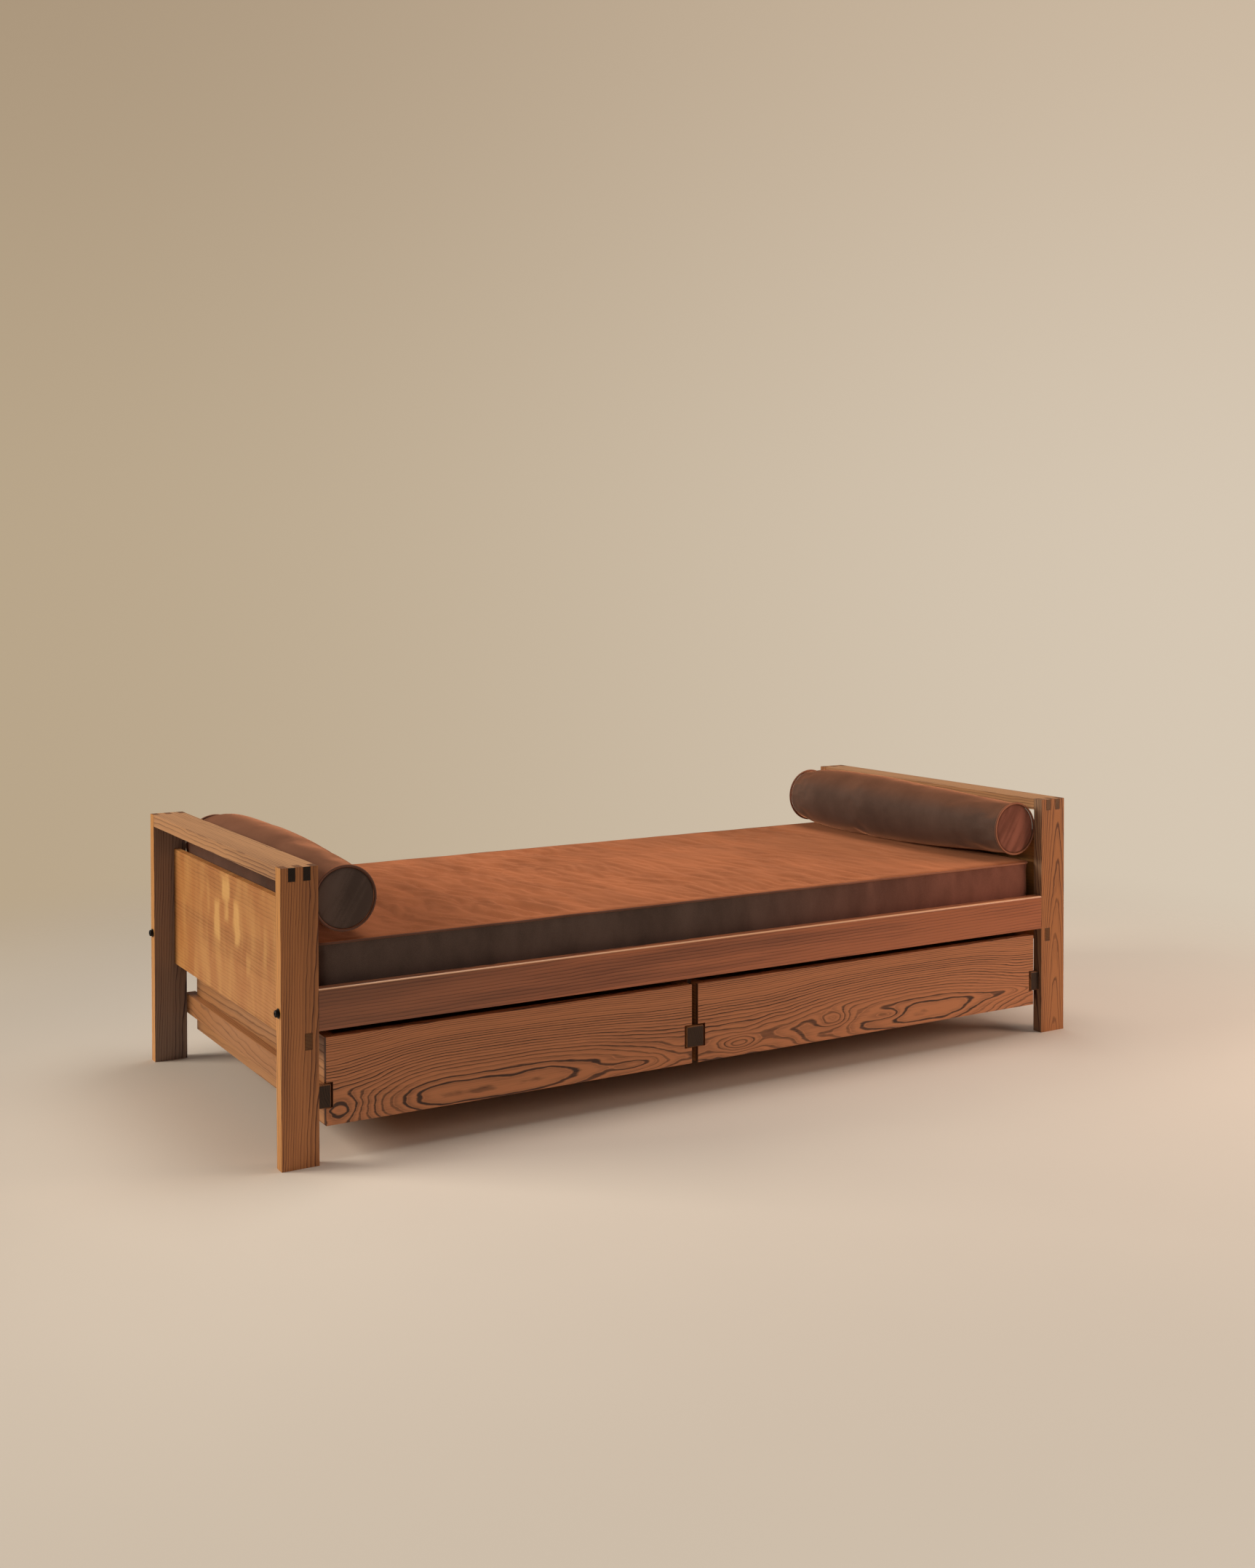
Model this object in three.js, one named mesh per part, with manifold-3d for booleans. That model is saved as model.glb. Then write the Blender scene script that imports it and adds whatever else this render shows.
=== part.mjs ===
// A low daybed: two finger-jointed end frames, side rails bolted between them, a slatted
// base with a mattress and two bolsters, and two drawers that hang on wooden runners.
//
// Millimetres. X runs along the bed, from the left end (-X) to the right end (+X).
// Y runs across it, from the front (-Y), where the drawers open, to the rear (+Y).
// Z is up, and the origin is on the floor under the middle of the bed.
import * as THREE from 'three';
import { mergeVertices } from 'three/addons/utils/BufferGeometryUtils.js';
import Module from 'manifold-3d';

const wasm = await Module();
wasm.setup();

// ---------------------------------------------------------------- driving dimensions
const gap = 0.3;                    // air between pieces that touch

const bed = { length: 2100, depth: 930, height: 598 };
const post = { width: 78, thickness: 28 };
const fingerCount = 5;              // equal shares of a post's width at the corner joint
const topRailThickness = 28;

const panel = { fromEnd: 49, thickness: 16, bottom: 234, top: 512, housing: 6 };
const tenonHeight = 33;

const rail = { thickness: 28, bottom: 268, top: 352, topRadius: 5 };
const stub = { length: 8, thickness: 14, height: 56 };

const bolt = { radius: 4, headRadius: 7.5, headHeight: 6, height: 311, reach: 58 };
const socket = { radius: 3.2, depth: 3.5 };
const washer = { radius: 9.8, thickness: 1.6 };
const barrelNut = { radius: 6, length: 20, fromRailEnd: 42 };
const boltClearance = 0.5;

const ledge = { width: 20, height: 22 };
const slat = { count: 12, width: 88, thickness: 18 };
const crossRailWidth = 44;

const runner = { bottom: 109.5, height: 47, recess: 8, outerGrip: 10, middleGrip: 14.5 };
const runnerClearance = 1.5;
const notch = { clearance: 4.5, headroom: 3.5 };

const drawer = {
  bottom: 73, top: 251, recess: 10, rear: 415, postGap: 18, middleGap: 16, middle: -78,
  board: 22, lap: 10, backBoard: 16, floor: 9, floorLift: 10, floorHousing: 6,
};
const hangerThickness = 10;

const mattress = { length: 1936, depth: 870, thickness: 130, corner: 22, edge: 10 };
const bolster = { length: 856, radius: 84.5, endRadius: 66, centre: 899.5, height: 523.8 };

// ---------------------------------------------------------------- derived dimensions
const halfLength = bed.length / 2;
const halfDepth = bed.depth / 2;
const postInner = halfLength - post.width;
const sideInner = halfDepth - post.thickness;
const postMiddle = post.thickness / 2;
const ledgeTop = rail.bottom + ledge.height;
const slatBottom = ledgeTop + gap;
const mattressBottom = slatBottom + slat.thickness + gap;
const runnerTop = runner.bottom + runner.height;
const frontFace = -halfDepth + drawer.recess;
const frontBack = frontFace + drawer.board;
const drawerOuter = postInner - drawer.postGap;
const { outerGrip, middleGrip } = runner;
const drawers = [
  { name: 'left', x: [-drawerOuter, drawer.middle - drawer.middleGap / 2],
    grips: [outerGrip, middleGrip] },
  { name: 'right', x: [drawer.middle + drawer.middleGap / 2, drawerOuter],
    grips: [middleGrip, outerGrip] },
];
const ends = [{ name: 'left', sign: -1 }, { name: 'right', sign: 1 }];
const sides = [{ name: 'front', sign: -1 }, { name: 'rear', sign: 1 }];

// ---------------------------------------------------------------- materials
const finish = (color, roughness, metalness = 0) =>
  new THREE.MeshStandardMaterial({ color, roughness, metalness });
const elm = () => finish(0x96582f, 0.5);
const drawerElm = () => finish(0x8a5230, 0.55);
const runnerWood = () => finish(0x5a3222, 0.6);
const innerWood = () => finish(0xa9794c, 0.65);
const blackSteel = () => finish(0x17181a, 0.45, 0.85);
const velvet = () => finish(0x8a3f1f, 0.9);

// ---------------------------------------------------------------- geometry helpers
const daybed = new THREE.Group();

function add(name, geometry, material, position = [0, 0, 0]) {
  const mesh = new THREE.Mesh(geometry, material);
  mesh.name = name;
  mesh.position.set(...position);
  daybed.add(mesh);
  return mesh;
}

// A box between two corners, each given as a pair of limits in either order.
function box(x, y, z) {
  const size = [x, y, z].map(([a, b]) => Math.abs(b - a));
  const middle = [x, y, z].map(([a, b]) => (a + b) / 2);
  return new THREE.BoxGeometry(...size).translate(...middle);
}

// A box in one corner of the bed, measured inwards from the end's and the side's outer faces.
function cornerBox(end, side, fromEnd, fromSide, z) {
  const x = fromEnd.map((inward) => end.sign * (halfLength - inward));
  const y = fromSide.map((inward) => side.sign * (halfDepth - inward));
  return box(x, y, z);
}

function roundBar(radius, length, axis, centre, segments = 24) {
  const bar = new THREE.CylinderGeometry(radius, radius, length, segments);
  if (axis === 'x') bar.rotateZ(Math.PI / 2);
  if (axis === 'z') bar.rotateX(Math.PI / 2);
  return bar.translate(...centre);
}

function solid(geometry) {
  const bare = geometry.clone();
  bare.deleteAttribute('normal');
  bare.deleteAttribute('uv');
  const merged = mergeVertices(bare, 1e-4);
  return new wasm.Manifold(new wasm.Mesh({
    numProp: 3,
    vertProperties: new Float32Array(merged.attributes.position.array),
    triVerts: new Uint32Array(merged.index.array),
  }));
}

function shape(body) {
  const { vertProperties, triVerts } = body.getMesh();
  const geometry = new THREE.BufferGeometry();
  geometry.setAttribute('position', new THREE.BufferAttribute(vertProperties, 3));
  geometry.setIndex(new THREE.BufferAttribute(triVerts, 1));
  return geometry;
}

const cut = (geometry, tools) =>
  shape(tools.reduce((body, tool) => body.subtract(solid(tool)), solid(geometry)));
const join = (geometries) =>
  shape(geometries.slice(1).reduce((body, more) => body.add(solid(more)), solid(geometries[0])));

const grown = ([low, high], by) => [low - by, high + by];

// ---------------------------------------------------------------- end frames
const fingerWidth = post.width / fingerCount;
const railFingers = [1, 3].map((n) => [n * fingerWidth, (n + 1) * fingerWidth]);
const panelSpan = [panel.fromEnd, panel.fromEnd + panel.thickness];
const tenonSpan = [panel.bottom, panel.bottom + tenonHeight];
const jointHeights = [bed.height - topRailThickness, bed.height];
const stubSides = [postMiddle - stub.thickness / 2, postMiddle + stub.thickness / 2];
const stubHeights = [bolt.height - stub.height / 2, bolt.height + stub.height / 2];

function makePost(end, side) {
  const overrun = 1;
  const fingerSlots = railFingers.map((x) =>
    cornerBox(end, side, x, [-overrun, post.thickness + overrun],
      [jointHeights[0], jointHeights[1] + overrun]));
  const panelHousing = cornerBox(end, side, grown(panelSpan, gap),
    [post.thickness - panel.housing, post.thickness + overrun],
    grown([panel.bottom, panel.top], gap));
  const mortise = cornerBox(end, side, grown(panelSpan, gap),
    [-overrun, post.thickness + overrun], grown(tenonSpan, gap));
  const railMortise = cornerBox(end, side, [post.width - stub.length - gap, post.width + overrun],
    grown(stubSides, gap), grown(stubHeights, gap));
  const boltHole = roundBar(bolt.radius + boltClearance, post.width + 2 * overrun, 'x',
    [end.sign * (halfLength - post.width / 2), side.sign * (halfDepth - postMiddle), bolt.height]);
  const blank = cornerBox(end, side, [0, post.width], [0, post.thickness], [0, bed.height]);
  add(`${side.name}_${end.name}_post`,
    cut(blank, [...fingerSlots, panelHousing, mortise, railMortise, boltHole]), elm());
}

function makeTopRail(end) {
  const x = [halfLength - post.width, halfLength].map((place) => end.sign * place);
  const body = box(x, [-sideInner + gap, sideInner - gap], jointHeights);
  const fingers = sides.flatMap((side) => railFingers.map((span) =>
    cornerBox(end, side, grown(span, -gap), [0, post.thickness + 1],
      [jointHeights[0] + gap, jointHeights[1]])));
  add(`${end.name}_top_rail`, join([body, ...fingers]), elm());
}

function makeEndPanel(end) {
  const reach = sideInner + panel.housing - gap;
  const x = panelSpan.map((inward) => end.sign * (halfLength - inward));
  const board = box(x, [-reach, reach], [panel.bottom, panel.top]);
  const tenon = box(x, [-halfDepth, halfDepth], tenonSpan);
  add(`${end.name}_end_panel`, join([board, tenon]), elm());
}

// ---------------------------------------------------------------- side rails and their bolts
// The rail's section, drawn across the bed: the two top edges are rounded over.
function railSection() {
  const half = rail.thickness / 2;
  const height = rail.top - rail.bottom;
  const radius = rail.topRadius;
  const section = new THREE.Shape();
  section.moveTo(-half, 0);
  section.lineTo(half, 0);
  section.lineTo(half, height - radius);
  section.absarc(half - radius, height - radius, radius, 0, Math.PI / 2);
  section.lineTo(-half + radius, height);
  section.absarc(-half + radius, height - radius, radius, Math.PI / 2, Math.PI);
  return section;
}

function nutCentre(end, side) {
  return [end.sign * (postInner - barrelNut.fromRailEnd), side.sign * (halfDepth - postMiddle),
    bolt.height];
}

function makeSideRail(side) {
  const length = 2 * (postInner - gap);
  const bar = new THREE.ExtrudeGeometry(railSection(),
    { depth: length, bevelEnabled: false, curveSegments: 5 });
  bar.translate(0, 0, -length / 2).rotateX(Math.PI / 2).rotateZ(Math.PI / 2);
  bar.translate(0, side.sign * (halfDepth - postMiddle), rail.bottom);
  const stubs = ends.map((end) =>
    cornerBox(end, side, [post.width - stub.length, post.width + 1], stubSides, stubHeights));
  const boltHoles = ends.map((end) => roundBar(bolt.radius + boltClearance, 2 * bolt.reach + gap,
    'x', [end.sign * postInner, side.sign * (halfDepth - postMiddle), bolt.height]));
  const nutHoles = ends.map((end) => {
    const [x, y, z] = nutCentre(end, side);
    const outerEnd = y + side.sign * (barrelNut.length / 2 + gap);
    const innerEnd = side.sign * (sideInner - 1);
    return roundBar(barrelNut.radius + gap, Math.abs(outerEnd - innerEnd), 'y',
      [x, (outerEnd + innerEnd) / 2, z]);
  });
  add(`${side.name}_side_rail`, cut(join([bar, ...stubs]), [...boltHoles, ...nutHoles]), elm());
}

// A round-headed bolt standing on its head's underside, with its shank along -Y.
function boltBlank() {
  const { radius, headRadius, headHeight } = bolt;
  const shank = post.width + bolt.reach - washer.thickness;
  const outline = new THREE.Path();
  outline.moveTo(0, -shank);
  outline.lineTo(radius - 1, -shank);
  outline.lineTo(radius, 1 - shank);
  outline.lineTo(radius, 0);
  outline.lineTo(headRadius, 0);
  outline.lineTo(headRadius, headHeight / 2);
  outline.quadraticCurveTo(headRadius, headHeight, headRadius - headHeight / 2, headHeight);
  outline.lineTo(0, headHeight);
  const blank = new THREE.LatheGeometry(outline.getPoints(4), 24);
  const hexKey = new THREE.CylinderGeometry(socket.radius, socket.radius, 2 * socket.depth, 6);
  return cut(blank, [hexKey.translate(0, headHeight, 0)]);
}

function makeBoltSet(end, side) {
  const y = side.sign * (halfDepth - postMiddle);
  const washerFace = halfLength + gap + washer.thickness;
  const shaft = boltBlank().rotateZ(-end.sign * Math.PI / 2);
  const corner = `${side.name}_${end.name}`;
  add(`${corner}_bolt`, shaft, blackSteel(), [end.sign * (washerFace + gap), y, bolt.height]);

  const disc = roundBar(washer.radius, washer.thickness, 'x', [0, 0, 0]);
  const hole = roundBar(bolt.radius + boltClearance, 3 * washer.thickness, 'x', [0, 0, 0]);
  add(`${corner}_washer`, cut(disc, [hole]), blackSteel(),
    [end.sign * (halfLength + gap + washer.thickness / 2), y, bolt.height]);

  const barrel = roundBar(barrelNut.radius, barrelNut.length, 'y', [0, 0, 0]);
  const thread = roundBar(bolt.radius + gap, 3 * barrelNut.radius, 'x', [0, 0, 0]);
  add(`${corner}_barrel_nut`, cut(barrel, [thread]), blackSteel(), nutCentre(end, side));
}

// ---------------------------------------------------------------- slatted base
function makeLedge(side) {
  const y = [sideInner - gap, sideInner - ledge.width].map((place) => side.sign * place);
  const x = [gap - postInner, postInner - gap];
  add(`${side.name}_slat_ledge`, box(x, y, [rail.bottom, ledgeTop]), innerWood());
}

function makeSlats() {
  const firstCentre = -postInner + slat.width / 2 + gap;
  const pitch = -2 * firstCentre / (slat.count - 1);
  const length = 2 * (sideInner - 2);
  for (let n = 0; n < slat.count; n += 1) {
    add(`slat_${n + 1}`, new THREE.BoxGeometry(slat.width, length, slat.thickness), innerWood(),
      [firstCentre + n * pitch, 0, slatBottom + slat.thickness / 2]);
  }
}

// The rail across the middle of the base, and the board under it that holds the middle runner.
function makeMiddleHanger() {
  const reach = sideInner - ledge.width - gap;
  const across = (width) => [drawer.middle - width / 2, drawer.middle + width / 2];
  add('middle_cross_rail', box(across(crossRailWidth), [-reach, reach], [rail.bottom, ledgeTop]),
    innerWood());
  add('middle_hanger', box(across(hangerThickness), [-sideInner + 7, sideInner - 7],
    [runnerTop + gap, rail.bottom - gap]), runnerWood());
}

// ---------------------------------------------------------------- drawer runners
function makeRunners() {
  const heights = [runner.bottom, runnerTop];
  const along = [runner.recess - halfDepth, halfDepth - runner.recess];
  for (const end of ends) {
    const x = [postInner - gap, drawerOuter - outerGrip].map((place) => end.sign * place);
    add(`${end.name}_runner`, box(x, along, heights), runnerWood());
  }
  const half = drawer.middleGap / 2 + middleGrip;
  add('middle_runner', box([drawer.middle - half, drawer.middle + half], along, heights),
    runnerWood());
}

// ---------------------------------------------------------------- drawers
function makeDrawer({ name, x: [left, right], grips: [leftGrip, rightGrip] }) {
  const heights = [drawer.bottom, drawer.top];
  const floorHeights = [drawer.bottom + drawer.floorLift,
    drawer.bottom + drawer.floorLift + drawer.floor];
  const innerLeft = left + drawer.board;
  const innerRight = right - drawer.board;

  // The front's ends are notched round the runners, and lap over the ends of the sides.
  const notchHeights = [runner.bottom - 1, runnerTop + notch.headroom];
  const notchSpans = [
    [left - 1, left + leftGrip + notch.clearance],
    [right - rightGrip - notch.clearance, right + 1],
  ];
  const notches = notchSpans.map((x) => box(x, [frontFace - 1, frontBack + 1], notchHeights));
  const laps = [[left - 1, innerLeft + gap], [innerRight - gap, right + 1]].map((x) =>
    box(x, [frontFace + drawer.lap, frontBack + 1], grown(heights, 1)));
  const frontGroove = box([innerLeft - drawer.floorHousing, innerRight + drawer.floorHousing],
    [frontBack - drawer.floorHousing, frontBack + 1], grown(floorHeights, gap));
  add(`${name}_drawer_front`,
    cut(box([left, right], [frontFace, frontBack], heights), [...notches, ...laps, frontGroove]),
    drawerElm());

  // Each side rides on its runner by a groove in its outer face.
  const sideLength = [frontFace + drawer.lap + gap, drawer.rear];
  const boards = [
    { name: 'left', outer: left, inward: 1, grip: leftGrip },
    { name: 'right', outer: right, inward: -1, grip: rightGrip },
  ];
  for (const side of boards) {
    const board = box([side.outer, side.outer + side.inward * drawer.board], sideLength, heights);
    const grooveBottom = side.outer + side.inward * (side.grip + runnerClearance);
    const runnerGroove = box([side.outer - side.inward, grooveBottom],
      grown(sideLength, 1), [runner.bottom - 1, runnerTop + gap]);
    const innerFace = side.outer + side.inward * drawer.board;
    const floorGroove = box([innerFace - side.inward * drawer.floorHousing, innerFace + side.inward],
      grown(sideLength, 1), grown(floorHeights, gap));
    add(`${name}_drawer_${side.name}_side`, cut(board, [runnerGroove, floorGroove]),
      innerWood());
  }

  // The back stands on the floor panel, which slides in under it.
  add(`${name}_drawer_back`, box([innerLeft + gap, innerRight - gap],
    [drawer.rear - drawer.backBoard, drawer.rear], [floorHeights[1] + gap, drawer.top]),
  innerWood());
  const tongue = drawer.floorHousing - gap;
  add(`${name}_drawer_floor`, box([innerLeft - tongue, innerRight + tongue],
    [frontBack - tongue, drawer.rear], floorHeights), innerWood());
}

// ---------------------------------------------------------------- soft goods
function makeMattress() {
  const { length, depth, thickness, corner, edge } = mattress;
  const x = length / 2 - edge;
  const y = depth / 2 - edge;
  const plan = new THREE.Shape();
  plan.moveTo(-x + corner, -y);
  plan.lineTo(x - corner, -y);
  plan.absarc(x - corner, -y + corner, corner, -Math.PI / 2, 0);
  plan.lineTo(x, y - corner);
  plan.absarc(x - corner, y - corner, corner, 0, Math.PI / 2);
  plan.lineTo(-x + corner, y);
  plan.absarc(-x + corner, y - corner, corner, Math.PI / 2, Math.PI);
  plan.lineTo(-x, -y + corner);
  plan.absarc(-x + corner, -y + corner, corner, Math.PI, Math.PI * 1.5);
  const body = new THREE.ExtrudeGeometry(plan, {
    depth: thickness - 2 * edge, curveSegments: 4,
    bevelThickness: edge, bevelSize: edge, bevelSegments: 3,
  });
  add('mattress', shape(solid(body)), velvet(), [0, 0, mattressBottom + edge]);
}

// A bolster's profile: flat ends, and a side that swells gently towards the middle.
function makeBolster(end) {
  const { length, radius, endRadius } = bolster;
  const profile = new THREE.Path();
  profile.moveTo(0, -length / 2);
  profile.lineTo(endRadius - 4, -length / 2);
  profile.lineTo(endRadius, 4 - length / 2);
  profile.bezierCurveTo(radius, -length * 0.4, radius, -length * 0.2, radius, 0);
  profile.bezierCurveTo(radius, length * 0.2, radius, length * 0.4, endRadius, length / 2 - 4);
  profile.lineTo(endRadius - 4, length / 2);
  profile.lineTo(0, length / 2);
  add(`${end.name}_bolster`, new THREE.LatheGeometry(profile.getPoints(5), 32), velvet(),
    [end.sign * bolster.centre, 0, bolster.height]);
}

// ---------------------------------------------------------------- assembly
for (const end of ends) {
  for (const side of sides) {
    makePost(end, side);
    makeBoltSet(end, side);
  }
  makeTopRail(end);
  makeEndPanel(end);
  makeBolster(end);
}
for (const side of sides) {
  makeSideRail(side);
  makeLedge(side);
}
makeSlats();
makeMiddleHanger();
makeRunners();
drawers.forEach(makeDrawer);
makeMattress();

export default daybed;
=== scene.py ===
"""Looks for the daybed: boards, steel, mattress and bolsters, in a plain pale studio.

Metres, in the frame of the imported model: X along the bed, the front at -Y, Z up.
"""

import math

import bmesh
import bpy
import numpy as np
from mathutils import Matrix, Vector, noise


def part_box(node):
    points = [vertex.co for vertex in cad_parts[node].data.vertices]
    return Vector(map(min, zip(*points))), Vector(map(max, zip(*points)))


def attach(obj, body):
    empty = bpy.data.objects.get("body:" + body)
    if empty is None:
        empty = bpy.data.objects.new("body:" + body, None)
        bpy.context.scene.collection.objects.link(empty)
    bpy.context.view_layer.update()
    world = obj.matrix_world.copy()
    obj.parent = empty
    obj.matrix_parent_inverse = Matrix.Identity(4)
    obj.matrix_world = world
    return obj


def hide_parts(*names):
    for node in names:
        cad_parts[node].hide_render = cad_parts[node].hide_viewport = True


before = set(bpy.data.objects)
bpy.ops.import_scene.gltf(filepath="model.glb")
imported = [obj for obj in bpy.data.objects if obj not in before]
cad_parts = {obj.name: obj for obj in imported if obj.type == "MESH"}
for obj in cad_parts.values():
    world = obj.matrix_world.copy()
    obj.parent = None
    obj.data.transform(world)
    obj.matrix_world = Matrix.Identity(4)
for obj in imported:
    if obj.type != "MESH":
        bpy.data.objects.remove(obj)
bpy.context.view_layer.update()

# ---------------------------------------------------------------- camera
CAMERA_PLACE = (-2.1765, -3.6885, 1.1611)
CAMERA_YAW = -0.5366
CAMERA_DROP = 0.0194
CAMERA_ROLL = 0.0016
CAMERA_LENS = 39.42
CAMERA_SHIFT = -0.1087


def make_camera():
    data = bpy.data.cameras.new("camera")
    data.lens = CAMERA_LENS
    data.sensor_width = 36
    data.shift_y = CAMERA_SHIFT
    camera = bpy.data.objects.new("camera", data)
    camera.location = CAMERA_PLACE
    camera.rotation_euler = (math.pi / 2 - CAMERA_DROP, CAMERA_ROLL, CAMERA_YAW)
    bpy.context.scene.collection.objects.link(camera)
    bpy.context.scene.camera = camera


# ---------------------------------------------------------------- node graphs
class Graph:
    """A material's or world's nodes. Each call adds a node and gives back its output."""

    def __init__(self, name, kind=bpy.data.materials):
        self.owner = kind.new(name)
        self.owner.use_nodes = True
        self.tree = self.owner.node_tree
        self.shader = self.tree.nodes.get("Principled BSDF")
        self.points = self.tree.nodes.new("ShaderNodeTexCoord")

    def feed(self, socket, value):
        if isinstance(value, bpy.types.NodeSocket):
            self.tree.links.new(value, socket)
        elif value is not None:
            socket.default_value = value

    def place(self):
        return self.points.outputs["Object"]

    def normal(self):
        return self.points.outputs["Normal"]

    def math(self, operation, a, b=None, clamp=False):
        node = self.tree.nodes.new("ShaderNodeMath")
        node.operation = operation
        node.use_clamp = clamp
        self.feed(node.inputs[0], a)
        self.feed(node.inputs[1], b)
        return node.outputs[0]

    def total(self, first, *others):
        for value in others:
            first = self.math("ADD", first, value)
        return first

    def product(self, first, *others):
        for value in others:
            first = self.math("MULTIPLY", first, value)
        return first

    def vector(self, operation, a, b):
        node = self.tree.nodes.new("ShaderNodeVectorMath")
        node.operation = operation
        self.feed(node.inputs[0], a)
        self.feed(node.inputs[1], b)
        return node.outputs["Vector"]

    def split(self, vector):
        node = self.tree.nodes.new("ShaderNodeSeparateXYZ")
        self.feed(node.inputs[0], vector)
        return list(node.outputs)

    def combine(self, x, y, z):
        node = self.tree.nodes.new("ShaderNodeCombineXYZ")
        for socket, value in zip(node.inputs, (x, y, z)):
            self.feed(socket, value)
        return node.outputs[0]

    def noise(self, vector, scale=1.0, detail=2.0, roughness=0.5):
        node = self.tree.nodes.new("ShaderNodeTexNoise")
        self.feed(node.inputs["Vector"], vector)
        node.inputs["Scale"].default_value = scale
        node.inputs["Detail"].default_value = detail
        node.inputs["Roughness"].default_value = roughness
        return node.outputs["Fac"]

    def random(self, value):
        node = self.tree.nodes.new("ShaderNodeTexWhiteNoise")
        node.noise_dimensions = "1D"
        self.feed(node.inputs["W"], value)
        return node.outputs["Value"]

    def span(self, value, low, high, to_low=0.0, to_high=1.0, smooth=True):
        node = self.tree.nodes.new("ShaderNodeMapRange")
        node.interpolation_type = "SMOOTHSTEP" if smooth else "LINEAR"
        numbers = (low, high, to_low, to_high)
        for socket, number in zip(node.inputs[1:5], numbers):
            socket.default_value = number
        self.feed(node.inputs[0], value)
        return node.outputs[0]

    def ramp(self, value, stops):
        node = self.tree.nodes.new("ShaderNodeValToRGB")
        elements = node.color_ramp.elements
        while len(elements) < len(stops):
            elements.new(0.5)
        for element, (place, color) in zip(elements, stops):
            element.position = place
            element.color = (*color, 1)
        self.feed(node.inputs[0], value)
        return node.outputs[0]

    def mix(self, amount, a, b, blend="MIX"):
        node = self.tree.nodes.new("ShaderNodeMix")
        node.data_type = "RGBA"
        node.blend_type = blend
        self.feed(node.inputs["Factor"], amount)
        for socket, value in ((node.inputs[6], a), (node.inputs[7], b)):
            self.feed(socket, (*value, 1) if isinstance(value, tuple) else value)
        return node.outputs[2]

    def bump(self, height, strength, distance):
        node = self.tree.nodes.new("ShaderNodeBump")
        node.inputs["Strength"].default_value = strength
        node.inputs["Distance"].default_value = distance
        self.feed(node.inputs["Height"], height)
        self.feed(self.shader.inputs["Normal"], node.outputs[0])

    def finish(self, color, roughness, **fixed):
        self.feed(self.shader.inputs["Base Color"], color)
        self.feed(self.shader.inputs["Roughness"], roughness)
        for socket, value in fixed.items():
            self.shader.inputs[socket.replace("_", " ")].default_value = value
        return self.owner


# ---------------------------------------------------------------- wood
# A board is cut from a log: its growth rings are tubes round a pith line that runs along
# the board, so one field of rings gives each face its own figure and the ends their arcs.
# Each wood has a light and a dark tone, end, which darkens its end grain, and sometimes
# a tone for the places that a function picks, painted sheen on the panels and painted
# shade on the rails, a painted highlight for its upper front edge, and faces, tints of
# painted light and shade for the faces that look one way.
ELM = {"light": (0.50, 0.205, 0.075), "dark": (0.120, 0.044, 0.022), "end": 0.50}
DRAWER_ELM = {"light": (0.60, 0.245, 0.108), "dark": (0.066, 0.034, 0.025), "end": 0.30}
# The panels' extra tone is painted sheen, bright where the grain shimmers under the light.
PANEL_ELM = {"light": (0.50, 0.200, 0.058), "dark": (0.290, 0.105, 0.030), "end": 0.30,
             "painted_light_and_shade_tone": (0.86, 0.50, 0.17)}
# The rails' extra tones are a painted highlight on the rounded upper front edge and painted shade
# towards their left ends.
RAIL_ELM = {"light": (0.50, 0.170, 0.074), "dark": (0.150, 0.050, 0.027), "end": 0.05,
            "painted_edge_highlight": (0.88, 0.50, 0.28), "painted_light_and_shade_tone": (0.160, 0.080, 0.048)}
TOP_ELM = {"light": (0.56, 0.280, 0.125), "dark": (0.210, 0.095, 0.043), "end": 0.04}
RUNNER_WOOD = {"light": (0.43, 0.190, 0.074), "dark": (0.200, 0.086, 0.038), "end": 0.10}
INNER_WOOD = {"light": (0.46, 0.215, 0.085), "dark": (0.250, 0.110, 0.045), "end": 0.45}
FAR_RING = 0.12


def board_axes(g, along, out, centre):
    """Places on a board from its centre: along the grain, across the face and behind it."""
    place = g.split(g.vector("SUBTRACT", g.place(), centre))
    return place[along], place[3 - along - out], place[out]


def stretched(g, s, u, v, long, fine, seed=0.0):
    """A noise drawn out along the grain: long and fine are its waves for each metre."""
    place = g.combine(g.math("MULTIPLY", s, long), g.math("MULTIPLY", u, fine),
                      g.math("MULTIPLY", v, fine))
    return g.noise(g.vector("ADD", place, (seed, 0.7 * seed, 1.3 * seed)), 1.0, 2.5, 0.55)


def ring_count(g, s, u, v, pith, lean, ring, crowd, wander, seed, figure):
    """How many growth rings lie between the log's middle and a place on the board. Rings
    are as wide as ring at FAR_RING, and wider near the middle where crowd is above 1."""
    slow = g.math("SUBTRACT", stretched(g, s, u, v, 2.2, 6.0, seed), 0.5)
    quick = g.math("SUBTRACT", stretched(g, s, u, v, 7.0, 22.0, seed + 5.0), 0.5)
    height = g.total(g.math("MULTIPLY", s, lean[0]), pith[0],
                     g.math("MULTIPLY", slow, wander))
    depth = g.total(g.math("MULTIPLY", s, lean[1]), pith[1],
                    g.math("MULTIPLY", quick, wander * 1.6))
    if figure:
        depth = g.math("ADD", depth, figure(g, s, u))
    a = g.math("SUBTRACT", u, height)
    b = g.math("SUBTRACT", v, depth)
    radius = g.math("SQRT", g.total(g.product(a, a), g.product(b, b)))
    ripple = g.math("SUBTRACT", stretched(g, s, u, v, 16, 60, seed), 0.5)
    count = g.math("POWER", g.math("DIVIDE", radius, FAR_RING), crowd)
    return g.total(g.math("MULTIPLY", count, FAR_RING / (ring * crowd)),
                   g.math("MULTIPLY", ripple, 0.5))


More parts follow.
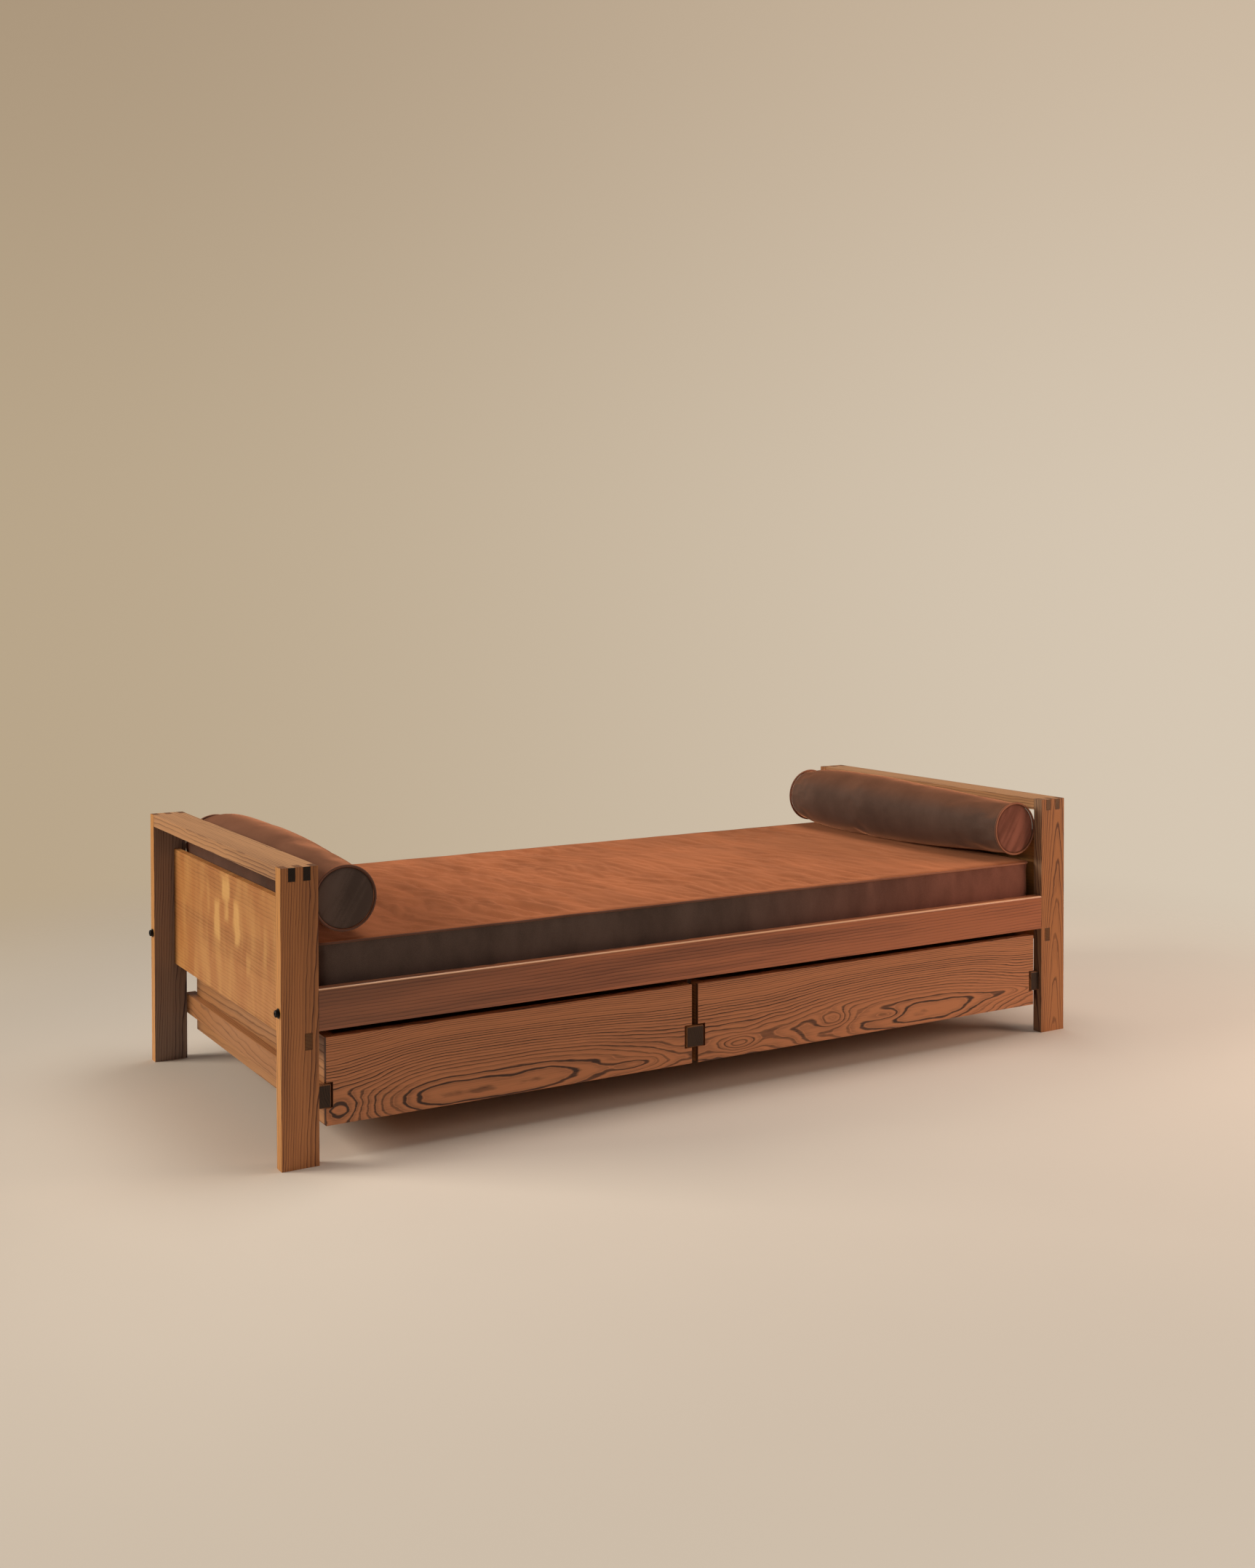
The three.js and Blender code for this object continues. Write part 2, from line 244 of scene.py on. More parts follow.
def grain(g, s, u, v, count, line, seed, stain):
    """The darker lines of the rings, the pores in them, and how dark the wood is in all."""
    turn = g.math("FRACT", count)
    group = g.span(g.random(g.math("FLOOR", g.math("MULTIPLY", count, 0.23))), 0.0, 1.0, 0.7, 1.0)
    single = g.span(g.random(g.math("FLOOR", count)), 0.0, 1.0, 0.6, 1.2, smooth=False)
    early = g.product(g.span(turn, 0.0, line * 0.35), g.span(turn, line * 0.6, line, 1.0, 0.0))
    late = g.math("MULTIPLY", g.span(turn, 0.55, 0.97), 0.35)
    rings = g.product(g.math("MAXIMUM", early, late), g.product(group, single))

    fibre = g.math("SUBTRACT", stretched(g, s, u, v, 9.0, 420.0, seed), 0.5)
    pores = g.span(stretched(g, s, u, v, 45.0, 1100.0, seed), 0.60, 0.72)
    pores = g.product(pores, g.span(rings, 0.0, 0.8, 0.25, 0.9))
    streak = g.span(stretched(g, s, u, v, 1.1, 17.0, seed + 2.0), 0.40, 0.70, -0.4, 1.0)
    dark = g.total(rings, g.math("MULTIPLY", pores, 0.35), g.math("MULTIPLY", streak, stain),
                   g.math("MULTIPLY", fibre, 0.7))
    height = g.total(g.math("MULTIPLY", rings, -0.6), g.math("MULTIPLY", pores, -0.8),
                     g.math("MULTIPLY", fibre, 0.35))
    return dark, height


def wood_color(g, s, u, tones, along, dark, painted_light_and_shade):
    """The color between the light and the dark tone, with what the tones say of some places:
    painted sheen and painted shade in the places a function picks, faces tinted with painted
    light and shade, a painted highlight on the upper front edge, and ends that soak up more oil."""
    middle = tuple(0.6 * x + 0.4 * y for x, y in zip(tones["light"], tones["dark"]))
    color = g.ramp(dark, [(0.0, tones["light"]), (0.45, middle), (1.0, tones["dark"])])
    # Painted sheen on the panels and painted shade on the rails, in the places the function picks.
    if painted_light_and_shade:
        color = g.mix(painted_light_and_shade(g, s, u), color, tones["painted_light_and_shade_tone"])

    # Painted light and shade on the faces that look along an axis, in the direction of a sign.
    facing = g.split(g.normal())
    for axis, sign, tint in tones.get("faces", ()):
        turned = g.math("MULTIPLY", facing[axis], sign)
        tinted = g.mix(1.0, color, tint, "MULTIPLY")
        color = g.mix(g.span(turned, 0.5, 0.9), color, tinted)

    # A painted highlight along the rounded upper front edge, where it faces up and forward.
    if "painted_edge_highlight" in tones:
        edge = g.product(g.span(facing[2], 0.2, 0.6), g.span(facing[1], -0.6, -0.2, 1.0, 0.0))
        color = g.mix(edge, color, tones["painted_edge_highlight"])

    soaked = g.mix(1.0, color, (tones["end"],) * 3, "MULTIPLY")
    return g.mix(g.span(g.math("ABSOLUTE", facing[along]), 0.6, 0.9), color, soaked)


def wood(name, tones, along, out, centre, pith=(0.03, 0.09), ring=0.005, lean=(0.01, 0.02),
         crowd=1.0, wander=0.006, line=0.34, seed=0.0, figure=None, painted_light_and_shade=None, stain=0.3,
         gloss=0.42, coat=0.05):
    """Wood whose grain runs along one axis. pith is the log's middle from the board's,
    across the face and behind it; lean is how far those drift for each metre of board;
    line is the share of a ring that its dark line takes; stain is how much broad darker
    streaks show; figure bends the rings, and the function for the painted sheen and
    painted shade says where their tone goes."""
    g = Graph(name)
    s, u, v = board_axes(g, along, out, centre)
    count = ring_count(g, s, u, v, pith, lean, ring, crowd, wander, seed, figure)
    dark, height = grain(g, s, u, v, count, line, seed, stain)
    color = wood_color(g, s, u, tones, along, dark, painted_light_and_shade)
    rough = g.span(dark, 0.0, 1.0, gloss, gloss + 0.18, smooth=False)
    g.bump(height, 0.35, 0.0004)
    return g.finish(color, rough, Coat_Weight=coat, Coat_Roughness=0.22,
                    Specular_IOR_Level=0.3)


def dress(node, material):
    """A CAD board keeps its shape and gets its wood."""
    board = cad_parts[node]
    board.data.materials.clear()
    board.data.materials.append(material)


EASED = 0.0007
RUNNER_EASED = 0.0028
WELD_REACH = 1e-5
FLAT_DEGREES = 0.5
SHARP_DEGREES = 40


def ease_edges(node, width=EASED, segments=2):
    """Rounds a board's sharp edges a little. Its faces are joined up first, so that only
    true edges are rounded."""
    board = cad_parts[node]
    weld = board.modifiers.new("weld", "WELD")
    weld.merge_threshold = WELD_REACH
    flat = board.modifiers.new("flat", "DECIMATE")
    flat.decimate_type = "DISSOLVE"
    flat.angle_limit = math.radians(FLAT_DEGREES)
    bevel = board.modifiers.new("bevel", "BEVEL")
    bevel.width = width
    bevel.segments = segments
    bevel.limit_method = "ANGLE"
    bevel.angle_limit = math.radians(SHARP_DEGREES)


def centre_of(node):
    low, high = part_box(node)
    return tuple((low + high) / 2)


def hill(g, s, u, place, size, height):
    """A smooth rise round one place of a board's face."""
    a = g.math("DIVIDE", g.math("SUBTRACT", s, place[0]), size[0])
    b = g.math("DIVIDE", g.math("SUBTRACT", u, place[1]), size[1])
    away = g.total(g.product(a, a), g.product(b, b))
    return g.math("MULTIPLY", g.math("EXPONENT", g.math("MULTIPLY", away, -1.0)), height)


def left_drawer_figure(g, s, u):
    """Long nested arches that turn down near both ends of the board."""
    left = g.span(s, -0.16, -0.42, 0.0, 0.050)
    right = g.span(s, 0.02, 0.44, 0.0, 0.040)
    knot = hill(g, s, u, (-0.40, -0.060), (0.05, 0.025), 0.018)
    tongue = hill(g, s, u, (0.30, -0.070), (0.07, 0.016), -0.016)
    return g.total(left, right, knot, tongue)


def right_drawer_figure(g, s, u):
    """A high wide arch with eyes below it and an arrow at the far end."""
    rise = g.span(s, 0.14, -0.40, 0.0, 0.050)
    fall = g.span(s, 0.20, 0.50, 0.0, 0.045)
    eye = hill(g, s, u, (-0.124, -0.042), (0.050, 0.022), 0.022)
    long_eye = hill(g, s, u, (0.030, -0.052), (0.060, 0.014), 0.018)
    hollow = hill(g, s, u, (-0.40, -0.060), (0.05, 0.016), -0.022)
    arrow = hill(g, s, u, (0.43, -0.042), (0.10, 0.018), -0.024)
    return g.total(rise, fall, eye, long_eye, hollow, arrow)


# Upright bars of painted sheen in the end panels, bright where the grain shimmers under the
# light: from and to along the board, from and to up its face, and how strongly each one shines.
PANEL_BARS = (
    (0.010, 0.066, 0.080, 0.135, 0.62),
    (0.078, 0.118, -0.020, 0.075, 0.42),
    (0.020, 0.048, 0.030, 0.085, 0.50),
    (-0.058, -0.022, -0.010, 0.080, 0.48),
    (-0.136, -0.106, -0.070, -0.018, 0.30),
    (0.150, 0.172, 0.030, 0.100, 0.16),
    (-0.240, -0.215, -0.030, 0.070, 0.14),
)


def panel_painted_sheen(g, s, u):
    """Painted sheen: the bars, with slightly wavy edges, and some broad faint areas of it."""
    wave = g.math("MULTIPLY", g.math("SUBTRACT", stretched(g, s, u, s, 10.0, 14.0), 0.5), 0.03)
    s, u = g.math("ADD", s, wave), g.math("ADD", u, g.math("MULTIPLY", wave, 2.0))
    painted_sheen = 0.0
    for start, end, low, high, strength in PANEL_BARS:
        inside = g.product(g.span(s, start - 0.008, start + 0.010),
                           g.span(s, end - 0.010, end + 0.008, 1.0, 0.0),
                           g.span(u, low - 0.010, low + 0.020),
                           g.span(u, high - 0.020, high + 0.010, 1.0, 0.0))
        painted_sheen = g.math("ADD", g.math("MULTIPLY", inside, strength), painted_sheen)
    broad = g.span(g.noise(g.combine(g.math("MULTIPLY", s, 16.0), g.math("MULTIPLY", u, 5.0),
                                     0.0), 1.0, 2.0), 0.35, 0.75, 0.0, 0.28)
    return g.math("ADD", painted_sheen, broad, clamp=True)


# The studio's lamps leave some faces of the posts redder or darker than the real ones, so
# each entry paints light or shade onto the face that looks along an axis, in the direction
# of a sign: painted light on the left faces of the left posts, and painted grey shade on the
# rear left post's front and on the front right post's left face.
PAINTED_LIGHT_LEFT = (0, -1, (1.39, 1.52, 1.20))
PAINTED_SHADE_FRONT = (1, -1, (0.62, 1.05, 2.20))
PAINTED_SHADE_LEFT = (0, -1, (0.75, 1.05, 1.60))
POSTS = {
    # post: (log's middle across and behind, lean across and behind, ring width, seed, faces with
    # painted light and shade)
    "front_left": ((0.060, 0.050), (0.01, 0.02), 0.0042, 4.0, (PAINTED_LIGHT_LEFT,)),
    "front_right": ((0.012, 0.022), (0.02, 0.050), 0.0046, 8.0, (PAINTED_SHADE_LEFT,)),
    "rear_left": ((0.060, 0.060), (0.01, 0.02), 0.0044, 15.0, (PAINTED_LIGHT_LEFT, PAINTED_SHADE_FRONT)),
    "rear_right": ((0.040, 0.030), (0.02, 0.030), 0.0046, 19.0, ()),
}


def dress_posts():
    for name, (pith, lean, ring, seed, faces) in POSTS.items():
        node = f"{name}_post"
        dress(node, wood(node, dict(ELM, faces=faces), 2, 1, centre_of(node), pith, ring,
                         lean, seed=seed, stain=0.25))


def rail_painted_shade(g, s, u):
    """Painted shade: the side rails darken towards their left end, where less light falls on their
    fronts.
    """
    return g.span(s, -0.95, -0.25, 0.45, 0.0)


def dress_side_rails():
    for side in ("front", "rear"):
        node = f"{side}_side_rail"
        dress(node, wood(node, RAIL_ELM, 0, 1, centre_of(node), pith=(0.30, 0.05), ring=0.007,
                         wander=0.010, line=0.2, stain=0.50, seed=17.0, gloss=0.32, coat=0.35,
                         painted_light_and_shade=rail_painted_shade))
        node = f"{side}_slat_ledge"
        dress(node, wood(node, INNER_WOOD, 0, 1, centre_of(node), seed=2.0))


def dress_ends():
    """The top rails and the panels. The left rail's ends are darker than the right one's."""
    for index, end in enumerate(("left", "right")):
        node = f"{end}_top_rail"
        tones = dict(TOP_ELM, end=(TOP_ELM["end"], 0.35)[index])
        dress(node, wood(node, tones, 1, 2, centre_of(node), pith=(0.06, -0.05), ring=0.0042,
                         seed=5.0 + index))
        node = f"{end}_end_panel"
        dress(node, wood(node, PANEL_ELM, 1, 0, centre_of(node), pith=(0.35, 0.20), ring=0.007,
                         wander=0.008, line=0.2, seed=23.0 + index, painted_light_and_shade=panel_painted_sheen))


def dress_under_parts():
    """The runners and their hanger, the slats and the insides of the drawers."""
    for index, node in enumerate(("left_runner", "middle_runner", "right_runner",
                                  "middle_hanger")):
        dress(node, wood(node, RUNNER_WOOD, 1, 0, centre_of(node), seed=31.0 + index))
    inner = wood("inner_boards", INNER_WOOD, 1, 2, (0.0, 0.0, 0.0), pith=(0.4, -0.25))
    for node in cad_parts:
        if node.startswith("slat_") or node.endswith(("cross_rail", "_side")):
            dress(node, inner)
    lengthwise = wood("inner_long_boards", INNER_WOOD, 0, 1, (0.0, 0.0, 0.0), pith=(0.4, 0.25))
    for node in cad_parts:
        if node.endswith(("drawer_back", "drawer_floor")):
            dress(node, lengthwise)


def dress_drawer_fronts():
    fronts = {"left": (left_drawer_figure, -0.064, 44.0),
              "right": (right_drawer_figure, -0.058, 51.0)}
    for name, (figure, pith, seed) in fronts.items():
        node = f"{name}_drawer_front"
        dress(node, wood(node, DRAWER_ELM, 0, 1, centre_of(node), pith=(pith, 0.014),
                         ring=0.0046, lean=(0.0, 0.0), crowd=1.55, wander=0.010, line=0.46,
                         figure=figure, stain=0.12, seed=seed))


def dress_boards():
    dress_posts()
    dress_side_rails()
    dress_ends()
    dress_under_parts()
    dress_drawer_fronts()
    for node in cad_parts:
        if node.endswith("runner"):
            ease_edges(node, RUNNER_EASED, 3)
        elif not node.endswith(("bolt", "washer", "nut", "mattress", "bolster")):
            ease_edges(node)


# ---------------------------------------------------------------- steel
def dress_steel():
    """One blackened steel for the bolts, washers and barrel nuts."""
    g = Graph("blackened_steel")
    speck = g.noise(g.place(), 900.0, 3.0)
    color = g.ramp(speck, [(0.3, (0.012, 0.012, 0.013)), (0.8, (0.035, 0.034, 0.034))])
    g.bump(speck, 0.15, 0.0002)
    steel = g.finish(color, g.span(speck, 0.2, 0.8, 0.38, 0.55), Metallic=0.85)
    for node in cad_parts:
        if node.endswith(("bolt", "washer", "nut")):
            dress(node, steel)


# ---------------------------------------------------------------- velvet
VELVET_SHEEN = (1.0, 0.42, 0.22, 1)


def velvet(name, up, side, front=None, sheen=0.7, nap=(9.0, 9.0, 9.0), slant=0.0):
    """Velvet with painted light and shade: one tone where it faces up, for the light and sheen
    that its top catches, and a darker one on its sides. front gives the tones of the side
    towards -Y, at the left and the right end, with painted light that grows towards the right
    end. nap is how many brushed streaks there are for each metre, along each axis, and slant
    is how much slanting ones show on the front."""
    g = Graph(name)
    place = g.place()
    x, _, z = g.split(place)
    _, facing_back, facing_up = g.split(g.normal())
    facing_front = g.span(facing_back, -0.92, -0.55, 1.0, 0.0)
    # Painted light on the faces that look up, painted shade on the sides.
    color = g.mix(g.span(facing_up, 0.25, 0.95), side, up)
    # Painted light on the front, growing from its left end to its right end.
    if front:
        color = g.mix(facing_front, color, g.mix(g.span(x, -0.1, 0.95), *front))
    brushed = g.noise(g.vector("MULTIPLY", place, nap), 1.0, 3.0, 0.55)
    across = g.math("SUBTRACT", x, g.math("MULTIPLY", z, 0.6))
    slanting = g.combine(g.math("MULTIPLY", across, 34.0), 0.0, g.math("MULTIPLY", z, 5.0))
    slanting = g.math("SUBTRACT", g.noise(slanting, 1.0, 2.0), 0.5)
    pile = g.noise(place, 700.0, 3.0, 0.65)
    ground = g.total(g.math("MULTIPLY", brushed, 0.5), g.math("MULTIPLY", pile, 0.4),
                     g.product(slanting, facing_front, slant))
    shade = g.span(ground, 0.27, 0.63, 0.74, 1.26)
    color = g.mix(1.0, color, g.combine(shade, shade, shade), "MULTIPLY")
    g.bump(g.math("ADD", pile, g.math("MULTIPLY", brushed, 2.0)), 0.4, 0.0006)
    return g.finish(color, 0.9, Sheen_Weight=sheen, Sheen_Roughness=0.35,
                    Sheen_Tint=VELVET_SHEEN, Specular_IOR_Level=0.1)


# ---------------------------------------------------------------- cushion shapes
def new_piece(name, vertices, faces, material, body):
    data = bpy.data.meshes.new(name)
    data.from_pydata([tuple(v) for v in vertices], [], faces)
    mesh = bmesh.new()
    mesh.from_mesh(data)
    bmesh.ops.recalc_face_normals(mesh, faces=mesh.faces)
    mesh.to_mesh(data)
    mesh.free()
    data.shade_smooth()
    piece = bpy.data.objects.new(name, data)
    bpy.context.scene.collection.objects.link(piece)
    data.materials.append(material)
    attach(piece, body)
    return piece


def points_of(data):
    flat = np.empty(len(data.vertices) * 3)
    data.vertices.foreach_get("co", flat)
    return flat.reshape(-1, 3)


def set_points(data, points):
    data.vertices.foreach_set("co", points.astype(np.float32).ravel())
    data.update()


def puff(piece, seams, pressure, slack, cap, steps=20):
    """Blows a closed cover up by cloth simulation. Its seams stay put, slack is the share
    of spare cloth, and no point moves further than cap."""
    start = points_of(piece.data)
    group = piece.vertex_groups.new(name="seams")
    group.add(seams, 1.0, "REPLACE")
    cloth = piece.modifiers.new("cloth", "CLOTH")
    settings = cloth.settings
    settings.vertex_group_mass = group.name
    settings.quality = 4
    settings.mass = 0.25
    settings.bending_stiffness = 1.5
    settings.shrink_min = -slack
    settings.use_pressure = True
    settings.uniform_pressure_force = pressure
    settings.effector_weights.gravity = 0
    cloth.point_cache.frame_end = steps
    scene = bpy.context.scene
    for step in range(1, steps + 1):
        scene.frame_set(step)
    graph = bpy.context.evaluated_depsgraph_get()
    blown = points_of(piece.evaluated_get(graph).data)
    piece.modifiers.remove(cloth)
    piece.vertex_groups.remove(group)
    scene.frame_set(1)
    moved = blown - start
    distance = np.linalg.norm(moved, axis=1, keepdims=True)
    kept = cap * np.tanh(distance / cap) / np.maximum(distance, 1e-9)
    set_points(piece.data, start + moved * kept)


def refine(piece):
    """Adds a subdivision to the piece's mesh for good."""
    smooth = piece.modifiers.new("smooth", "SUBSURF")
    smooth.levels = 1
    graph = bpy.context.evaluated_depsgraph_get()
    fine = bpy.data.meshes.new_from_object(piece.evaluated_get(graph))
    piece.modifiers.remove(smooth)
    piece.data = fine
    fine.shade_smooth()


def tube(name, path, radius, material, body, sides=8):
    """A closed round cord of cloth, such as piping, along a loop of points."""
    path = np.asarray(path, float)
    ahead = np.roll(path, -1, axis=0) - np.roll(path, 1, axis=0)
    ahead /= np.linalg.norm(ahead, axis=1, keepdims=True)
    out = path - path.mean(axis=0)
    out -= (out * ahead).sum(1, keepdims=True) * ahead
    out /= np.linalg.norm(out, axis=1, keepdims=True)
    other = np.cross(ahead, out)
    vertices, faces = [], []
    count = len(path)
    for k in range(count):
        for j in range(sides):
            angle = 2 * math.pi * j / sides
            vertices.append(path[k] + radius * (math.cos(angle) * out[k]
                                                + math.sin(angle) * other[k]))
            a, b = k * sides + j, k * sides + (j + 1) % sides
            after = (k + 1) % count * sides
            faces.append((a, b, after + (j + 1) % sides, after + j))
    return new_piece(name, vertices, faces, material, body)


# ---------------------------------------------------------------- mattress
MATTRESS_STEP = 0.0125
MATTRESS_CORNER = 0.022
MATTRESS_SIDE_CLEAR = 0.001
PIPING = 0.0028
BAND_ROWS = (0.03, 0.07, 0.16, 0.32, 0.5, 0.68, 0.84, 0.93, 0.97)
GROOVE = 0.0022
SHOULDER = 0.0050
CROWN = 0.006
BOLSTER_REACH = (0.72, 0.81)
CREASE_DEPTH = 0.0060
# The deepest creases: their middle, half width and half length, and how deep they are.
PINCHES = (
    (-0.444, -0.288, 0.013, 0.12, 0.9),
    (-0.408, -0.290, 0.015, 0.12, -0.7),
    (-0.350, -0.260, 0.012, 0.08, 0.5),
    (-0.715, -0.250, 0.015, 0.12, 0.5),
    (-0.050, -0.170, 0.014, 0.12, 0.5),
    (-0.240, 0.370, 0.014, 0.06, 0.6),
    (-0.046, 0.330, 0.014, 0.08, 0.8),
    (0.140, 0.310, 0.013, 0.07, 0.9),
    (0.216, 0.300, 0.012, 0.06, 0.6),
)


def round_corner(x, y, half_x, half_y, corner):
    """Moves a point of a rectangle's grid so that the grid's corners are rounded."""
    over_x = abs(x) - (half_x - corner)
    over_y = abs(y) - (half_y - corner)
    if over_x <= 0 or over_y <= 0:
        return x, y
    a, b = over_x / corner, over_y / corner
    new_x = half_x - corner + corner * a * math.sqrt(1 - b * b / 2)
    new_y = half_y - corner + corner * b * math.sqrt(1 - a * a / 2)
    return math.copysign(new_x, x), math.copysign(new_y, y)


def grid_line(half, corner, step):
    """Places along one side: evenly spaced, with finer steps in the rounded corners."""
    inner = np.linspace(-half + corner, half - corner, int(2 * half / step))
    ends = half - corner * (1 - np.array([0.35, 0.7, 0.9, 1.0]))
    return np.concatenate([-ends[::-1], inner, ends])


def box_cover(half_x, half_y, low, high):
    """A box-shaped cover: two rounded rectangles joined by a band. Gives its points, its
    faces and the points of its two seams."""
    xs = grid_line(half_x, MATTRESS_CORNER, MATTRESS_STEP)
    ys = grid_line(half_y, MATTRESS_CORNER, MATTRESS_STEP)
    count_x, count_y = len(xs), len(ys)
    flat = [round_corner(x, y, half_x, half_y, MATTRESS_CORNER) for y in ys for x in xs]
    vertices = [(x, y, high) for x, y in flat] + [(x, y, low) for x, y in flat]

    def index(i, j, lower=0):
        return lower * count_x * count_y + j * count_x + i

    faces = [(index(i, j, k), index(i + 1, j, k), index(i + 1, j + 1, k), index(i, j + 1, k))
             for k in (0, 1) for j in range(count_y - 1) for i in range(count_x - 1)]
    rim = [(i, 0) for i in range(count_x - 1)] + [(count_x - 1, j) for j in range(count_y - 1)]
    rim += [(i, count_y - 1) for i in range(count_x - 1, 0, -1)]
    rim += [(0, j) for j in range(count_y - 1, 0, -1)]
    upper = [index(i, j) for i, j in rim]
    lower = [index(i, j, 1) for i, j in rim]
    rows = [upper]
    for share in BAND_ROWS:
        first = len(vertices)
        vertices += [(*vertices[v][:2], high + (low - high) * share) for v in upper]
        rows.append(list(range(first, first + len(rim))))
    rows.append(lower)
    for one, two in zip(rows, rows[1:]):
        faces += [(one[k], two[k], two[(k + 1) % len(rim)], one[(k + 1) % len(rim)])
                  for k in range(len(rim))]
    return vertices, faces, upper, lower


def crease(x, y):
    """How deep the cloth is pressed in at a place of the top, from 0 to about 1.5: ripples
    that run across the bed, in some places more than in others."""
    warp = 0.04 * noise.noise(Vector((3.1 * x, 4.7 * y, 2.0)))
    skewed = x + 0.18 * y + warp
    broad = noise.noise(Vector((19.0 * skewed, 5.0 * y, 5.0)))
    narrow = noise.noise(Vector((37.0 * skewed, 12.0 * y, 9.0)))
    area = noise.noise(Vector((2.6 * x, 3.4 * y, 14.0)))
    share = min(1.0, max(0.2, 0.62 + 1.3 * area - 0.25 * x))
    pinched = sum(depth * math.exp(-((x - at_x + 0.25 * (y - at_y)) / wide) ** 2
                                   - ((y - at_y) / long) ** 2)
                  for at_x, at_y, wide, long, depth in PINCHES)
    return share * ((1 - abs(broad)) ** 3 + 0.8 * (1 - abs(narrow)) ** 3) + pinched


def shape_top(points, top, half_x, half_y):
    """Crowns the top between the bolsters, keeps it flat where they rest, and creases it."""
    for number in np.nonzero(points[:, 2] > top - 0.004)[0]:
        x, y, _ = points[number]
        edge = min(half_x - abs(x), half_y - abs(y))
        if edge <= 0.002:
            continue
        near, far = BOLSTER_REACH
        free = min(1.0, max(0.0, (far - abs(x)) / (far - near)))
        free = free * free * (3 - 2 * free)
        rise = SHOULDER * (1 - math.exp(-edge / 0.005))
        rise += CROWN * (1 - (abs(y) / half_y) ** 2.5) * free
        depth = CREASE_DEPTH * crease(x, y) * min(1.0, edge / 0.04) * (0.25 + 0.75 * free)
        points[number, 2] = top + rise - depth
    return points


def shape_band(points, seams, half_x, half_y):
    """Pulls the band in beside each seam, where the piping is sewn on."""
    for number, (x, y, z) in enumerate(points):
        near = min(abs(z - seam) for seam in seams)
        pull = GROOVE * math.exp(-(near / 0.006) ** 2)
        points[number, 0] = math.copysign(min(abs(x), half_x - pull), x)
        points[number, 1] = math.copysign(min(abs(y), half_y - pull), y)
    return points


def make_mattress(material, cord):
    low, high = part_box("mattress")
    half_x = high.x - MATTRESS_SIDE_CLEAR
    half_y = high.y - MATTRESS_SIDE_CLEAR
    top, bottom = high.z - SHOULDER, low.z + PIPING
    vertices, faces, upper, lower = box_cover(half_x - PIPING, half_y - PIPING, low.z, top)
    cover = new_piece("mattress_cover", vertices, faces, material, "frame")
    puff(cover, upper + lower, pressure=3.0, slack=0.012, cap=0.007)
    points = points_of(cover.data)
    points[:, 2] = np.maximum(points[:, 2], low.z)
    set_points(cover.data, shape_band(points, (top, bottom), half_x, half_y))
    refine(cover)
    points = shape_top(points_of(cover.data), top, half_x - PIPING, half_y - PIPING)
    set_points(cover.data, points)
    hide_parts("mattress")
    for name, level in (("upper", top), ("lower", bottom)):
        loop = [(x * (half_x - 0.8 * PIPING) / (half_x - PIPING),
                 y * (half_y - 0.8 * PIPING) / (half_y - PIPING),
                 level + 0.0007 * noise.noise(Vector((9 * x, 7 * y, 0))))
                for x, y, _ in (vertices[v] for v in upper)]
        tube(f"mattress_{name}_piping", loop, PIPING, cord, "frame")


# ---------------------------------------------------------------- bolsters
BOLSTER_SIDES = 72
BOLSTER_RINGS = 58
DISC_RINGS = 9
DISC_CROWN = 0.003
BOLSTER_PIPING = 0.0030
PANEL_FACE = 0.9845
BOLSTER_EXTRA = 0.0015        # how far each disc lies past its CAD solid's end
REST_CLEAR = 0.0005
BOLSTERS = {
    # How each one swells from its ends to its fattest place. Each of the three is (distance
    # from the bed's middle, height, radius); fullness is how late it starts to taper.
    "left": {"peak": 0.16, "middle": (0.8985, 0.5220, 0.0850), "fullness": (1.7, 4.4),
             "front": (0.9020, 0.5210, 0.0640), "rear": (0.9030, 0.5190, 0.0670)},
    "right": {"peak": 0.27, "middle": (0.8985, 0.5230, 0.0850), "fullness": (1.6, 3.2),
              "front": (0.9130, 0.5240, 0.0635), "rear": (0.9050, 0.5210, 0.0700)},
}


def bolster_section(shape, t):
    """Distance from the bed's middle, height and radius at a place from -1, front, to 1."""
    peak = shape["peak"]
    if t < peak:
        end, fullness, reach = "front", shape["fullness"][0], peak + 1
    else:
        end, fullness, reach = "rear", shape["fullness"][1], 1 - peak
    taper = (abs(t - peak) / reach) ** fullness
    return [a + (b - a) * taper for a, b in zip(shape["middle"], shape[end])]


def bolster_rings(shape, middle_y, half, side):
    """The rings of points along a bolster: a disc, the long side and the other disc. Gives
    them with the numbers of the two rings that are seams."""
    inward = np.linspace(1, 0.06, DISC_RINGS)[1:]
    crown = 1 + DISC_CROWN * (1 - inward ** 2) / half
    rings = [(-t, share) for t, share in zip(crown[::-1], inward[::-1])]
    rings += [(t, 1.0) for t in np.linspace(-1, 1, BOLSTER_RINGS)]
    rings += list(zip(crown, inward))
    vertices = []
    for t, share in rings:
        away, height, radius = bolster_section(shape, min(1, max(-1, t)))
        for k in range(BOLSTER_SIDES):
            angle = 2 * math.pi * k / BOLSTER_SIDES
            vertices.append((side * away + share * radius * math.cos(angle), middle_y + half * t,
                             height + share * radius * math.sin(angle)))
    return vertices, len(rings), (DISC_RINGS - 1, len(rings) - DISC_RINGS)


def settle(points, mattress_top):
    """Flattens a bolster where it rests on the mattress and where it leans on the panel."""
    points[:, 2] = np.maximum(points[:, 2], mattress_top)
    points[:, 0] = np.clip(points[:, 0], -PANEL_FACE, PANEL_FACE)
    return points


